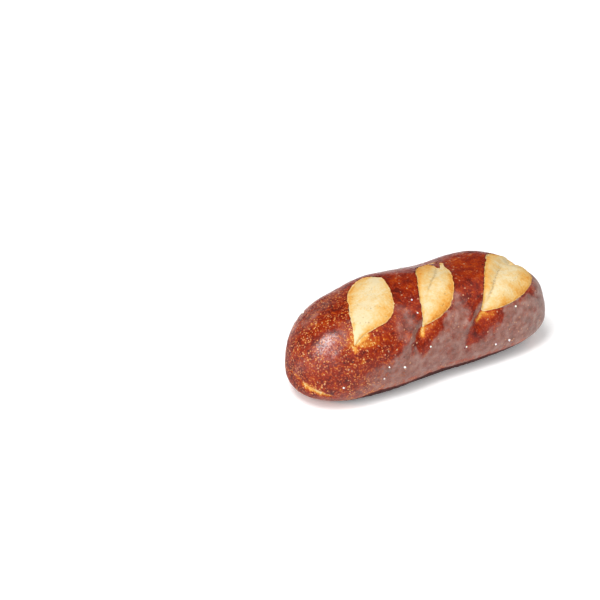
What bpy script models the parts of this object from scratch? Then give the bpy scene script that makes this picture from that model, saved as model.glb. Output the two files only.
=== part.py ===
"""A pretzel roll: a short, plump stick of dough, dipped in lye, scored three times across the top and
baked on its flat base until the crust is brown and the scores have opened onto pale crumb.

Metres, +Z up. The long axis is X, with the rounder end at -X. The origin is the middle of the base.

A place on the crust is given unrolled, as (along, round): along is X, and round is the way round the
section from the crest, as an angle times WRAP_RADIUS, negative down the side at -Y.
"""

import math
import random
from collections import namedtuple

import bmesh
import bpy
import numpy as np
from mathutils import Euler, Matrix, Vector

# The roll as it lies. It bows a little towards +Y
ROLL_LENGTH = 0.150
ROLL_WIDTH = 0.064
ROLL_HEIGHT = 0.048
BELLY_HEIGHT = 0.31 * ROLL_HEIGHT
BASE_SINK = 0.10 * ROLL_HEIGHT
BOW = 0.004
WRAP_RADIUS = 0.030

# Superellipse powers: 2 is an ellipse, and a higher power is squarer
CROWN_POWER = 2.5
BELLY_POWER = 2.05
NEAR_PLAN_POWER = 2.65
FAR_PLAN_POWER = 3.6
NEAR_RISE_POWER = 3.05
FAR_RISE_POWER = 2.95

# The grid that the form is built on
CELLS_ACROSS = 20
CELLS_ALONG = 46
MERIDIAN_STEPS = 400
SNAP_SHARE = 0.3

# Unevenness of hand-rolled dough, as waves across the whole form
LUMP_SEED = 3
LUMP_WAVES = 7
LUMP_HEIGHT = 0.0004
LUMP_SHORTEST = 0.024
LUMP_LONGEST = 0.060

# Where the crust stands proud or hangs back beside the scores, unrolled
Bulge = namedtuple("Bulge", "along round height reach")
BULGES = (
    Bulge(-0.036, 0.010, -0.0011, 0.012),
    Bulge(-0.018, 0.016, 0.0011, 0.014),
    Bulge(0.0185, 0.013, -0.0025, 0.0150),
    Bulge(0.047, 0.008, 0.0010, 0.011),
    Bulge(0.0665, 0.011, 0.0010, 0.005),
    Bulge(0.064, -0.017, 0.0014, 0.010),
    Bulge(-0.004, -0.052, -0.0020, 0.017),
    Bulge(-0.040, -0.054, -0.0013, 0.014),
)
TIP_FADE = 0.002

# An edge of an opened score: how far it stands off the straight cut at most, the share of the cut's
# length where it does, and how pointed it is at the cut's foot and head, where a lower power is blunter
Edge = namedtuple("Edge", "width peak foot_power head_power")

# foot and head are the cut's ends, unrolled. crease is the depth of the fold where the blade went in,
# crease_places how far across it lies at the foot and at the head, from 0 at the left edge to 1 at the
# right, and crease_bend how late it swings over. swell is the height of the crumb that rose beside it,
# and lip that of the crust at the left edge. furrow is the depth of the dent that runs on down the side
# from the foot, and furrow_length its reach.
Score = namedtuple(
    "Score", "foot head left right crease crease_places crease_bend swell lip furrow furrow_length"
)
SCORES = (
    Score(
        foot=(-0.0530, -0.0278), head=(-0.0181, 0.0080),
        left=Edge(0.01125, 0.60, 0.80, 0.27), right=Edge(0.0113, 0.54, 2.3, 0.25),
        crease=0.0006, crease_places=(0.30, 0.85), crease_bend=3.4, swell=0.0014, lip=0.0006,
        furrow=0.0009, furrow_length=0.010,
    ),
    Score(
        foot=(-0.0131, -0.0298), head=(0.0226, 0.0114),
        left=Edge(0.0091, 0.59, 0.66, 0.25), right=Edge(0.0100, 0.40, 1.65, 0.25),
        crease=0.0014, crease_places=(0.20, 0.98), crease_bend=2.5, swell=0.0012, lip=0.0009,
        furrow=0.0026, furrow_length=0.016,
    ),
    Score(
        foot=(0.0243, -0.0311), head=(0.0655, 0.0134),
        left=Edge(0.0070, 0.43, 0.65, 1.80), right=Edge(0.0194, 0.53, 0.72, 0.48),
        crease=0.0034, crease_places=(0.26, 0.88), crease_bend=6.0, swell=0.0016, lip=0.0010,
        furrow=0.0026, furrow_length=0.016,
    ),
)
LOWEST_LEAF_ROUND = 0.055
RAGGED = 0.00035
CREASE_WIDTH = 0.20
LIP_WIDTH = 0.0045
FURROW_WIDTH = 0.0042
FURROW_RUN = (-0.70, -0.71)

# The crust's cut edge over the crumb
RIM_WIDTH = 0.0006
RIM_DEPTH = 0.0009

# The split low on the rounder end, where the crust tore as the roll rose
SPLIT_PATH = ((-0.0745, -0.008, 0.015), (-0.071, -0.0155, 0.0125), (-0.064, -0.021, 0.009))
SPLIT_WIDTH = 0.0016
SPLIT_DEPTH = 0.0011

# Coarse salt: the grains on the side at -Y, unrolled, and a rule for the rest
SALT_ON_SIDE = (
    (-0.013, -0.013), (-0.014, -0.021), (-0.036, -0.043), (-0.027, -0.045), (-0.0385, -0.047),
    (-0.060, -0.047), (-0.011, -0.040), (0.0115, -0.0455), (0.030, -0.048), (0.039, -0.0485),
    (0.0435, -0.033),
)
SALT_SEED = 7
SALT_ELSEWHERE = 15
SALT_FROM_ROUND = 0.004
SALT_TO_ROUND = 0.049
SALT_SMALLEST = 0.0012
SALT_LARGEST = 0.0017
SALT_SUNK = 0.35
SALT_GAP = 0.009
SALT_OFF_SCORE = 0.003

# Finishes
CRUST_COLOUR = (0.235, 0.052, 0.020, 1.0)
CRUST_ROUGHNESS = 0.32


def clear_scene():
    for old in list(bpy.data.objects):
        bpy.data.objects.remove(old, do_unlink=True)


def signed_power(value, power):
    return np.sign(value) * np.abs(value) ** power


def narrowing(t, power):
    """How much of its full size the roll has at t, from 0 in the middle to 1 or -1 at an end's tip."""
    return np.maximum(0.0, 1.0 - np.abs(t) ** power) ** (1.0 / power)


def plain_form(along, round_):
    """Points of the roll before its relief, at these unrolled places."""
    t = np.clip(along / (ROLL_LENGTH / 2), -1.0, 1.0)
    plan = np.where(t < 0, narrowing(t, NEAR_PLAN_POWER), narrowing(t, FAR_PLAN_POWER))
    rise = np.where(t < 0, narrowing(t, NEAR_RISE_POWER), narrowing(t, FAR_RISE_POWER))
    up = np.cos(round_ / WRAP_RADIUS)
    out = np.sin(round_ / WRAP_RADIUS)
    power = np.where(up >= 0, CROWN_POWER, BELLY_POWER)
    reach = np.where(up >= 0, ROLL_HEIGHT - BELLY_HEIGHT, BELLY_HEIGHT + BASE_SINK)
    y = ROLL_WIDTH / 2 * plan * signed_power(out, 2 / power) + BOW * (0.5 - t * t)
    z = BELLY_HEIGHT + reach * rise * signed_power(up, 2 / power)
    return np.stack([along, y, np.maximum(z, 0.0)], axis=-1)


def even_stations(power):
    """Shares of the way from an end's tip to the middle, and the half-lengths that divide it evenly."""
    turn = np.linspace(0.0, math.pi / 2, MERIDIAN_STEPS)
    x = ROLL_LENGTH / 2 * np.cos(turn) ** (2 / power)
    r = (ROLL_WIDTH + ROLL_HEIGHT) / 4 * np.sin(turn) ** (2 / power)
    step = np.hypot(np.diff(x), np.diff(r))
    arc = np.concatenate([[0.0], np.cumsum(step)])
    return arc / arc[-1], x


def on_cut(score, along, round_):
    """Where places lie on a score: the share of the way up its cut, the offset from it, its length."""
    cut = np.subtract(score.head, score.foot)
    length = np.hypot(*cut)
    x, y = along - score.foot[0], round_ - score.foot[1]
    return (x * cut[0] + y * cut[1]) / length**2, (x * cut[1] - y * cut[0]) / length, length


def edge_offset(edge, share):
    """How far an edge of an opened score stands off the cut, at these shares of the cut's length."""
    inside = np.clip(share, 0.0, 1.0)
    arch = np.sin(math.pi * inside ** (math.log(0.5) / math.log(edge.peak)))
    power = edge.foot_power + (edge.head_power - edge.foot_power) * inside
    ragged = np.sin(41 * inside + 900 * edge.width) + 0.6 * np.sin(97 * inside + 2000 * edge.width)
    return edge.width * np.maximum(arch, 0.0) ** power + RAGGED * arch * ragged


def inside_leaf(score, along, round_):
    """How far inside an opened score's outline places are, negative outside it."""
    share, offset, length = on_cut(score, along, round_)
    left, right = edge_offset(score.left, share), edge_offset(score.right, share)
    beyond = np.hypot(offset, np.maximum(-share, share - 1.0) * length)
    within = np.minimum(offset + left, right - offset)
    return np.where((share > 0.0) & (share < 1.0), within, -beyond)


def crumb_relief(score, along, round_):
    """Height of the opened crumb over the plain form: a fold at the cut, and a swell beside it."""
    share, offset, _ = on_cut(score, along, round_)
    left, right = edge_offset(score.left, share), edge_offset(score.right, share)
    across = np.clip((offset + left) / np.maximum(left + right, 1e-9), 0.0, 1.0)
    swell = score.swell * np.sin(math.pi * across) ** 0.7
    at_foot, at_head = score.crease_places
    crease_at = at_foot + (at_head - at_foot) * np.clip(share, 0.0, 1.0) ** score.crease_bend
    fold = np.exp(-(((across - crease_at) / CREASE_WIDTH) ** 2)) * np.clip(share, 0.0, 1.0)
    fold *= np.minimum(1.0, 4 * across) * np.minimum(1.0, 4 * (1 - across))
    along_cut = np.sin(math.pi * np.clip(share, 0.0, 1.0)) ** 0.6
    return along_cut * (swell - score.crease * fold)


def furrow_relief(score, along, round_):
    """The dent that runs on from a score's foot, down the side and slightly towards -X."""
    x, y = along - score.foot[0], round_ - score.foot[1]
    down = (x * FURROW_RUN[0] + y * FURROW_RUN[1]) / score.furrow_length
    aside = x * FURROW_RUN[1] - y * FURROW_RUN[0]
    return -score.furrow * np.exp(-((down - 0.15) ** 2) / 0.28 - (aside / FURROW_WIDTH) ** 2)


def lip_relief(score, along, round_):
    """The crust that stands up along a score's left edge."""
    share, offset, _ = on_cut(score, along, round_)
    beyond = -offset - edge_offset(score.left, share)
    fade = np.sin(math.pi * np.clip(share, 0.0, 1.0)) * (offset < 0)
    return score.lip * fade * np.exp(-np.maximum(beyond, 0.0) / LIP_WIDTH)


def lump_relief(points):
    draw = random.Random(LUMP_SEED)
    height = np.zeros(len(points))
    for _ in range(LUMP_WAVES):
        heading = Vector([draw.gauss(0, 1) for _ in range(3)]).normalized()
        wave = math.tau / draw.uniform(LUMP_SHORTEST, LUMP_LONGEST)
        height += np.sin(points @ np.array(heading) * wave + draw.uniform(0, math.tau))
    return LUMP_HEIGHT * height / math.sqrt(LUMP_WAVES)


def split_relief(points):
    nearest = np.full(len(points), np.inf)
    for start, end in zip(SPLIT_PATH, SPLIT_PATH[1:]):
        side = np.subtract(end, start)
        share = np.clip((points - start) @ side / (side @ side), 0.0, 1.0)
        gap = np.linalg.norm(points - start - share[:, None] * side, axis=1)
        nearest = np.minimum(nearest, gap)
    return -SPLIT_DEPTH * np.exp(-((nearest / SPLIT_WIDTH) ** 2))


def bulge_relief(along, round_):
    height = np.zeros(len(along))
    for bulge in BULGES:
        gap = np.hypot(along - bulge.along, round_ - bulge.round)
        height += bulge.height * np.exp(-((gap / bulge.reach) ** 2))
    return height * np.clip((ROLL_LENGTH / 2 - np.abs(along)) / TIP_FADE, 0.0, 1.0)


def relief(along, round_, points):
    """How far the baked surface stands off the plain form."""
    height = lump_relief(points) + split_relief(points) + bulge_relief(along, round_)
    for score in SCORES:
        crumb = inside_leaf(score, along, round_) > 1e-7
        crumb &= np.abs(round_) < LOWEST_LEAF_ROUND
        height += furrow_relief(score, along, round_)
        height += np.where(
            crumb, crumb_relief(score, along, round_), lip_relief(score, along, round_)
        )
    return height


def box_grid():
    """A cube from -1 to 1, cut into even cells: CELLS_ALONG along X and CELLS_ACROSS the other ways."""
    bm = bmesh.new()
    bmesh.ops.create_cube(bm, size=2.0)

    def run_along(edge):
        return abs(edge.verts[0].co.x - edge.verts[1].co.x)

    lengthwise = [edge for edge in bm.edges if run_along(edge) > 1.0]
    bmesh.ops.subdivide_edges(bm, edges=lengthwise, cuts=CELLS_ALONG - 1, use_grid_fill=True)
    crosswise = [edge for edge in bm.edges if run_along(edge) < 1e-6]
    bmesh.ops.subdivide_edges(bm, edges=crosswise, cuts=CELLS_ACROSS - 1, use_grid_fill=True)
    return bm


def unroll_box(x, y, z):
    """Unrolled places for points of the box grid. The box's two end faces make the roll's two caps."""
    ring = np.maximum(np.abs(y), np.abs(z))
    angle = np.where(
        np.abs(z) >= np.abs(y),
        math.pi / 4 * y / np.maximum(np.abs(z), 1e-9),
        math.pi / 2 * np.sign(y) - math.pi / 4 * z / np.where(np.abs(y) < 1e-9, 1e-9, y),
    )
    angle = np.where((np.abs(z) >= np.abs(y)) & (z < 0), math.pi - angle, angle)
    angle = np.arctan2(np.sin(angle), np.cos(angle))
    cap = CELLS_ACROSS / (CELLS_ACROSS + CELLS_ALONG)
    on_cap = np.abs(x) > 1.0 - 1e-6
    share = np.where(on_cap, ring * cap, cap + (1.0 - np.abs(x)) * (1.0 - cap))
    near = np.interp(share, *even_stations(NEAR_PLAN_POWER))
    far = np.interp(share, *even_stations(FAR_PLAN_POWER))
    return np.where(x < 0, -near, far), angle * WRAP_RADIUS


def rim_crossing(score, inner, outer):
    """The share of the way from a place inside an outline to one outside it where the edge lies."""
    low, high = 0.0, 1.0
    for _ in range(14):
        middle = (low + high) / 2
        if inside_leaf(score, *inner.lerp(outer, middle)) > 0:
            low = middle
        else:
            high = middle
    return (low + high) / 2


def cut_outline(bm, score, places):
    """Gives the grid vertices along an opened score's outline, and an edge between each two."""
    verts = list(bm.verts)
    x, y = np.array([places[vert] for vert in verts]).T
    is_inside = dict(zip(verts, inside_leaf(score, x, y) > 0))
    crossings = []
    for edge in bm.edges:
        inner, outer = edge.verts
        if is_inside[inner] == is_inside[outer] or abs(places[inner].y) > LOWEST_LEAF_ROUND:
            continue
        if not is_inside[inner]:
            inner, outer = outer, inner
        share = rim_crossing(score, places[inner], places[outer])
        crossings.append((edge, inner, outer, share, places[inner].lerp(places[outer], share)))
    rim = set()
    for _, inner, outer, share, spot in crossings:
        near = inner if share < SNAP_SHARE else outer
        if min(share, 1 - share) < SNAP_SHARE and near not in rim:
            places[near] = spot
            rim.add(near)
    for edge, inner, outer, share, spot in crossings:
        if inner not in rim and outer not in rim:
            added = bmesh.utils.edge_split(edge, inner, share)[1]
            places[added] = spot
            rim.add(added)
    bmesh.ops.connect_verts(bm, verts=list(rim))


def crumb_faces(bm, score, places):
    """The faces inside an opened score's outline."""
    found = []
    for face in bm.faces:
        spots = [places[vert] for vert in face.verts if vert in places]
        if len(spots) < len(face.verts) or abs(spots[0].y) > LOWEST_LEAF_ROUND:
            continue
        middle = sum(spots, Vector((0.0, 0.0))) / len(spots)
        if inside_leaf(score, *middle) > 0:
            found.append(face)
    return found


def finish_material(name, colour, roughness):
    material = bpy.data.materials.new(name)
    material.use_nodes = True
    shader = material.node_tree.nodes["Principled BSDF"]
    shader.inputs["Base Color"].default_value = colour
    shader.inputs["Roughness"].default_value = roughness
    shader.inputs["Metallic"].default_value = 0.0
    return material


def add_object(name, bm, collection, material):
    mesh = bpy.data.meshes.new(name)
    bm.to_mesh(mesh)
    bm.free()
    mesh.materials.append(material)
    made = bpy.data.objects.new(name, mesh)
    collection.objects.link(made)
    return made


def make_roll(collection, material):
    bm = box_grid()
    x, y, z = np.array([vert.co for vert in bm.verts]).T
    places = dict(zip(bm.verts, map(Vector, zip(*unroll_box(x, y, z)))))
    for score in SCORES:
        cut_outline(bm, score, places)
    along, round_ = np.array([places[vert] for vert in bm.verts]).T
    points = plain_form(along, round_)
    for vert, point in zip(bm.verts, points):
        vert.co = point
    bm.normal_update()
    heights = relief(along, round_, points)
    for vert, height in zip(bm.verts, heights):
        base = vert.co.z < 1e-6
        vert.co += vert.normal * float(height)
        vert.co.z = 0.0 if base else max(vert.co.z, 0.0)
    for score in SCORES:
        bmesh.ops.inset_region(
            bm,
            faces=crumb_faces(bm, score, places),
            thickness=RIM_WIDTH,
            depth=-RIM_DEPTH,
            use_even_offset=False,
        )
    bmesh.ops.recalc_face_normals(bm, faces=bm.faces)
    roll = add_object("roll", bm, collection, material)
    roll.data.shade_smooth()
    return roll


def salt_places():
    """Unrolled places for the grains, apart from each other and clear of the scores."""
    draw = random.Random(SALT_SEED)
    places = [Vector(place) for place in SALT_ON_SIDE]
    while len(places) < len(SALT_ON_SIDE) + SALT_ELSEWHERE:
        along = draw.uniform(-0.45, 0.45) * ROLL_LENGTH
        place = Vector((along, draw.uniform(SALT_FROM_ROUND, SALT_TO_ROUND)))
        clear = all(inside_leaf(score, *place) < -SALT_OFF_SCORE for score in SCORES)
        if clear and all((place - other).length > SALT_GAP for other in places):
            places.append(place)
    return places


def make_salt(collection, material, roll):
    """Small blunt crystals, each a jittered cube that is sunk a little into the crust."""
    draw = random.Random(SALT_SEED + 1)
    grains = []
    for number, place in enumerate(salt_places()):
        bm = bmesh.new()
        size = draw.uniform(SALT_SMALLEST, SALT_LARGEST)
        bmesh.ops.create_cube(bm, size=size)
        for vert in bm.verts:
            vert.co *= draw.uniform(0.8, 1.1)
        _, ground, normal, _ = roll.closest_point_on_mesh(Vector(plain_form(*place)))
        turn = Euler([draw.uniform(0, math.tau) for _ in range(3)]).to_matrix().to_4x4()
        centre = ground + normal * size * (0.5 - SALT_SUNK)
        bmesh.ops.transform(bm, matrix=Matrix.Translation(centre) @ turn, verts=bm.verts)
        grain = add_object(f"salt_grain_{number + 1}", bm, collection, material)
        grain.hide_render = True
        grain.display_type = "WIRE"
        grains.append(grain)
    return grains


def fuse(roll, collection, grains):
    """Joins the grains to the roll as one solid, centred on the origin, and clears them away."""
    join = roll.modifiers.new("salt", "BOOLEAN")
    join.operation = "UNION"
    join.operand_type = "COLLECTION"
    join.collection = collection
    join.solver = "MANIFOLD"
    bpy.context.view_layer.update()
    graph = bpy.context.evaluated_depsgraph_get()
    fused = bpy.data.meshes.new_from_object(roll.evaluated_get(graph))
    roll.modifiers.clear()
    roll.data = fused
    corners = np.array([vert.co for vert in fused.vertices])
    middle = (corners.min(axis=0) + corners.max(axis=0)) / 2
    fused.transform(Matrix.Translation((-middle[0], -middle[1], 0.0)))
    for grain in grains:
        bpy.data.objects.remove(grain, do_unlink=True)
    bpy.data.collections.remove(collection)


def main():
    clear_scene()
    parts = bpy.data.collections.new("pretzel_roll")
    toppings = bpy.data.collections.new("salt")
    for collection in (parts, toppings):
        bpy.context.scene.collection.children.link(collection)
    crust = finish_material("crust", CRUST_COLOUR, CRUST_ROUGHNESS)
    roll = make_roll(parts, crust)
    bpy.context.view_layer.update()
    grains = make_salt(toppings, crust, roll)
    fuse(roll, toppings, grains)


main()
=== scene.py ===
"""A pretzel roll on a pale table: a stick of dough, dipped in lye, scored three times, salted and baked.

Metres, +Z up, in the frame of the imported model. The long axis is X, with the rounder end at -X.

A place on the crust is given unrolled, as (along, round): along is X, and round is the way round the
section from the crest, as an angle times WRAP_RADIUS, negative down the side at -Y.
"""

import math
import random
from collections import namedtuple
from types import SimpleNamespace

import bpy
import numpy as np
from mathutils import Euler, Matrix, Vector, noise


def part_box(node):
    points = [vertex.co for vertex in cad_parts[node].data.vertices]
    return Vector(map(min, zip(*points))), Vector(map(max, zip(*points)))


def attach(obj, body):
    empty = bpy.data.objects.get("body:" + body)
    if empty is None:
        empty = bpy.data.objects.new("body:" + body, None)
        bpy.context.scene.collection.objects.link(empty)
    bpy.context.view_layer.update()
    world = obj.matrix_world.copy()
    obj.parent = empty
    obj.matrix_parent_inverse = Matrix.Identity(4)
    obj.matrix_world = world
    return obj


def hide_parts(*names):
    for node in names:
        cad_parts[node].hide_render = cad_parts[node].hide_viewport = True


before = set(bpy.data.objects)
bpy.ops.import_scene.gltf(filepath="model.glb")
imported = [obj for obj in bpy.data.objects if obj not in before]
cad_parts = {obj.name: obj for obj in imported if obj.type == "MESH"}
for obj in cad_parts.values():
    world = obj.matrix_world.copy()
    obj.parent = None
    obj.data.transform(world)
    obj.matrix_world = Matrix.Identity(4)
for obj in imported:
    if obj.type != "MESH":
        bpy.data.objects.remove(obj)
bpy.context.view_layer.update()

# The dough
# One plump stick of wheat dough, rolled by hand and baked on its flat base. The lye bath browns and
# shines its skin, and the three scores open in the oven onto pale crumb that rises between their edges.

ROLL_LENGTH = 0.150
ROLL_WIDTH = 0.064
ROLL_HEIGHT = 0.048
BELLY_HEIGHT = 0.31 * ROLL_HEIGHT
BASE_SINK = 0.10 * ROLL_HEIGHT
BOW = 0.004
WRAP_RADIUS = 0.030

# Superellipse powers: 2 is an ellipse, and a higher power is squarer
CROWN_POWER = 2.5
BELLY_POWER = 2.05
NEAR_PLAN_POWER = 2.65
FAR_PLAN_POWER = 3.6
NEAR_RISE_POWER = 3.05
FAR_RISE_POWER = 2.95

# The grid that the form is built on: a coarse one, each of whose cells is then cut again
COARSE_ACROSS = 21
COARSE_ALONG = 50
FINE_CUTS = 3
CELLS_ACROSS = COARSE_ACROSS * (FINE_CUTS + 1)
CELLS_ALONG = COARSE_ALONG * (FINE_CUTS + 1)
MERIDIAN_STEPS = 400

# Unevenness of hand-rolled dough, as waves across the whole form
LUMP_SEED = 3
LUMP_WAVES = 7
LUMP_HEIGHT = 0.0004
LUMP_SHORTEST = 0.024
LUMP_LONGEST = 0.060

# Where the crust stands proud or hangs back beside the scores, unrolled
Bulge = namedtuple("Bulge", "along round height reach")
BULGES = (
    Bulge(-0.036, 0.010, -0.0011, 0.012),
    Bulge(-0.018, 0.016, 0.0011, 0.014),
    Bulge(0.0205, 0.013, -0.0025, 0.0145),
    Bulge(0.047, 0.008, 0.0010, 0.011),
    Bulge(0.0665, 0.011, 0.0010, 0.005),
    Bulge(0.064, -0.017, 0.0014, 0.010),
    Bulge(-0.004, -0.052, -0.0020, 0.017),
    Bulge(-0.040, -0.054, -0.0013, 0.014),
)
TIP_FADE = 0.002

# An edge of an opened score: how far it stands off the straight cut at most, the share of the cut's
# length where it does, and how pointed it is at the cut's foot and head, where a lower power is blunter
Edge = namedtuple("Edge", "width peak foot_power head_power")

# foot and head are the cut's ends, unrolled. crease is the depth of the fold where the blade went in, at
# its deepest near the head. crease_places is how far across it lies at the foot and at the head, from 0
# at the left edge to 1 at the right, and crease_bend how late it swings over. pale_places says the same
# of the palest crumb, and gold how baked the crumb is there. swell is the height of the crumb that rose
# beside it, and lip that of the crust at the left edge. furrow is the depth of the dent that runs on down
# the side from the foot, and furrow_length its reach. fold is the stretch with a dark line in the crease.
Score = namedtuple(
    "Score",
    "foot head left right crease crease_places crease_bend pale_places gold swell lip furrow furrow_length "
    "fold",
)
SCORES = (
    Score(
        foot=(-0.0530, -0.0278), head=(-0.0181, 0.0080),
        left=Edge(0.0114, 0.60, 0.78, 0.26), right=Edge(0.0112, 0.535, 2.7, 0.25),
        crease=0.0006, crease_places=(0.30, 0.85), crease_bend=3.4, pale_places=(0.30, 0.85), gold=0.0,
        swell=0.0014, lip=0.0006, furrow=0.0009, furrow_length=0.010, fold=(0.0, 0.0),
    ),
    Score(
        foot=(-0.0131, -0.0298), head=(0.0226, 0.0114),
        left=Edge(0.0090, 0.49, 1.00, 0.45), right=Edge(0.0100, 0.40, 1.65, 0.25),
        crease=0.0014, crease_places=(0.20, 0.98), crease_bend=2.5, pale_places=(0.25, 1.17), gold=0.06,
        swell=0.0012, lip=0.0009, furrow=0.0026, furrow_length=0.016, fold=(0.38, 1.0),
    ),
    Score(
        foot=(0.0243, -0.0311), head=(0.0655, 0.0134),
        left=Edge(0.0070, 0.43, 0.65, 1.80), right=Edge(0.0194, 0.53, 0.72, 0.48),
        crease=0.0034, crease_places=(0.26, 0.88), crease_bend=6.0, pale_places=(0.37, 0.80), gold=0.03,
        swell=0.0016, lip=0.0010, furrow=0.0026, furrow_length=0.016, fold=(0.08, 0.66),
    ),
)

# The scores' outlines are torn: how far they stray, and how far apart their teeth are. Further round the
# section than the lowest leaf there is crust alone.
RAGGED = 0.0006
RAGGED_SIZE = 0.0024
LOWEST_LEAF_ROUND = 0.055

# Thin tears that run on from a score's edge into the crust, unrolled
Tear = namedtuple("Tear", "start end width")
TEARS = (
    Tear((0.0190, 0.0000), (0.0268, 0.0085), 0.0016),
    Tear((-0.0240, -0.0106), (-0.0218, -0.0117), 0.0010),
)

# A tongue of crust that still hangs over the second score's crumb, from its root to its tip
TONGUE = Tear((0.0218, 0.0100), (0.0182, 0.0004), 0.0032)

# The opened crumb. As shares of the score's width: its crease's width, and how far the crumb stays pale to
# the left and to the right of the palest line. TONE_SPREAD is how much more baked it is at the edges.
CREASE_WIDTH = 0.20
PALE_REACH_LEFT = 0.42
PALE_REACH_RIGHT = 0.50
TONE_SPREAD = 0.22
TONE_POWER = 1.3

# The dark line in the crease, a shallow groove with painted shade in it: it wanders, and fades out over
# a share of the cut's length
FOLD_WIDTH = 0.00035
FOLD_DEPTH = 0.0004
FOLD_WANDER = 0.0006
FOLD_WANDER_SIZE = 0.004
FOLD_FADE = 0.08

# The crust beside a score: the lip along its left edge, and below its foot the dent and the ridge to the
# left of the dent. Their middles and spreads are shares of the furrow's length, and the ridge's height is
# a share of the dent's depth.
LIP_WIDTH = 0.0045
FURROW_RUN = (-0.70, -0.71)
FURROW_WIDTH = 0.0042
DENT_MIDDLE = 0.15
DENT_SPREAD = 0.28
RIDGE_MIDDLE = 0.62
RIDGE_SPREAD = 0.20
RIDGE_SHARE = 0.60
RIDGE_OFF = 0.0052
RIDGE_WIDTH = 0.0020

# The crust's cut edge over the crumb
RIM_WIDTH = 0.00018
RIM_DEPTH = 0.0003

# The split low on the rounder end, where the crust tore as the roll rose: its streaks, one after the
# other, each with its corners, its half width and how pale it is
Streak = namedtuple("Streak", "path width pale")
SPLIT = (
    Streak(
        ((-0.0748, -0.0002, 0.0170), (-0.0747, -0.0050, 0.0168), (-0.0744, -0.0078, 0.0162)),
        0.0007, 0.55,
    ),
    Streak(((-0.0738, -0.0100, 0.0142), (-0.0715, -0.0154, 0.0122)), 0.0017, 0.85),
    Streak(((-0.0715, -0.0154, 0.0122), (-0.0690, -0.0182, 0.0110)), 0.0013, 1.00),
    Streak(((-0.0690, -0.0182, 0.0110), (-0.0650, -0.0208, 0.0092)), 0.0008, 0.90),
    Streak(((-0.0650, -0.0208, 0.0092), (-0.0560, -0.0262, 0.0074)), 0.0006, 0.45),
)
SPLIT_DEPTH = 0.0010

# Unrolled smears, each with its ends, its reach to either side and its strength at each end
Smear = namedtuple("Smear", "start end reach strengths")

# The paler baking past the foot of each score; the last two make the crest between the scores faintly paler
GLOWS = (
    Smear((-0.0505, -0.0246), (-0.0450, -0.0236), 0.0021, (1.12, 0.70)),
    Smear((-0.0485, -0.0272), (-0.0425, -0.0280), 0.0024, (0.60, 0.35)),
    Smear((-0.0526, -0.0270), (-0.0518, -0.0300), 0.0011, (0.95, 0.60)),
    Smear((-0.0512, -0.0190), (-0.0532, -0.0250), 0.0024, (0.42, 0.46)),
    Smear((-0.0126, -0.0298), (-0.0139, -0.0336), 0.0013, (1.05, 0.95)),
    Smear((-0.0118, -0.0308), (-0.0065, -0.0293), 0.0016, (0.50, 0.22)),
    Smear((0.0250, -0.0322), (0.0195, -0.0347), 0.0013, (1.00, 0.75)),
    Smear((0.0250, -0.0336), (0.0300, -0.0332), 0.0022, (0.62, 0.22)),
    Smear((-0.0060, 0.0050), (-0.0020, -0.0090), 0.0075, (0.15, 0.10)),
    Smear((0.0330, 0.0050), (0.0300, -0.0090), 0.0080, (0.12, 0.08)),
)

# Painted reflection of the table where it climbs: beside the furrows, over the far end and over the far
# side
PAINTED_REFLECTION_SMEARS = (
    Smear((-0.0215, -0.0170), (-0.0205, -0.0245), 0.0056, (0.45, 0.72)),
    Smear((-0.0255, -0.0250), (-0.0265, -0.0300), 0.0052, (0.50, 0.62)),
    Smear((-0.0265, -0.0380), (-0.0190, -0.0306), 0.0022, (1.00, 0.90)),
    Smear((0.0112, -0.0270), (0.0078, -0.0325), 0.0050, (0.60, 0.80)),
    Smear((0.0060, -0.0398), (0.0118, -0.0325), 0.0024, (1.00, 0.90)),
    Smear((0.0095, -0.0190), (0.0105, -0.0290), 0.0050, (0.60, 0.95)),
    Smear((0.0000, -0.0312), (0.0060, -0.0268), 0.0032, (0.80, 0.80)),
    Smear((0.0400, -0.0355), (0.0570, -0.0325), 0.0045, (0.85, 1.00)),
    Smear((-0.0520, -0.0120), (-0.0565, -0.0230), 0.0045, (0.40, 0.45)),
    Smear((0.0680, -0.0100), (0.0690, -0.0360), 0.0100, (0.85, 1.00)),
    Smear((-0.0620, 0.0060), (-0.0420, 0.0100), 0.0080, (0.50, 0.40)),
    Smear((-0.0090, 0.0120), (0.0020, 0.0140), 0.0060, (0.40, 0.50)),
    Smear((0.0220, 0.0120), (0.0420, 0.0120), 0.0060, (0.50, 0.40)),
)

# The clear, deep red crust beside the furrows, which the painted reflection leaves free
CLEARS = (
    Smear((-0.0520, -0.0350), (-0.0390, -0.0330), 0.0066, (1.10, 1.10)),
    Smear((-0.0120, -0.0345), (-0.0060, -0.0312), 0.0036, (1.20, 1.20)),
    Smear((-0.0130, -0.0370), (-0.0165, -0.0400), 0.0026, (1.10, 0.80)),
    Smear((-0.0152, -0.0306), (-0.0205, -0.0358), 0.0015, (0.90, 0.90)),
    Smear((0.0250, -0.0375), (0.0160, -0.0405), 0.0042, (1.20, 1.10)),
    Smear((0.0250, -0.0370), (0.0318, -0.0365), 0.0034, (1.10, 0.75)),
)

# How far painted reflection and clear crust stray from these lines, and over what distance they do
SMEAR_WANDER = 0.0020
SMEAR_WANDER_SIZE = 0.0035

# The glossiest crust, on the shoulder of the rounder end
SHEENS = (Smear((-0.0655, -0.0175), (-0.0650, -0.0235), 0.0090, (0.86, 0.86)),)

# The torn notch where the third score's fold runs over the crest
NOTCH = (Smear((0.0605, -0.0035), (0.0665, 0.0045), 0.0022, (0.50, 1.00)),)
NOTCH_DEPTH = 0.0022
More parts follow.
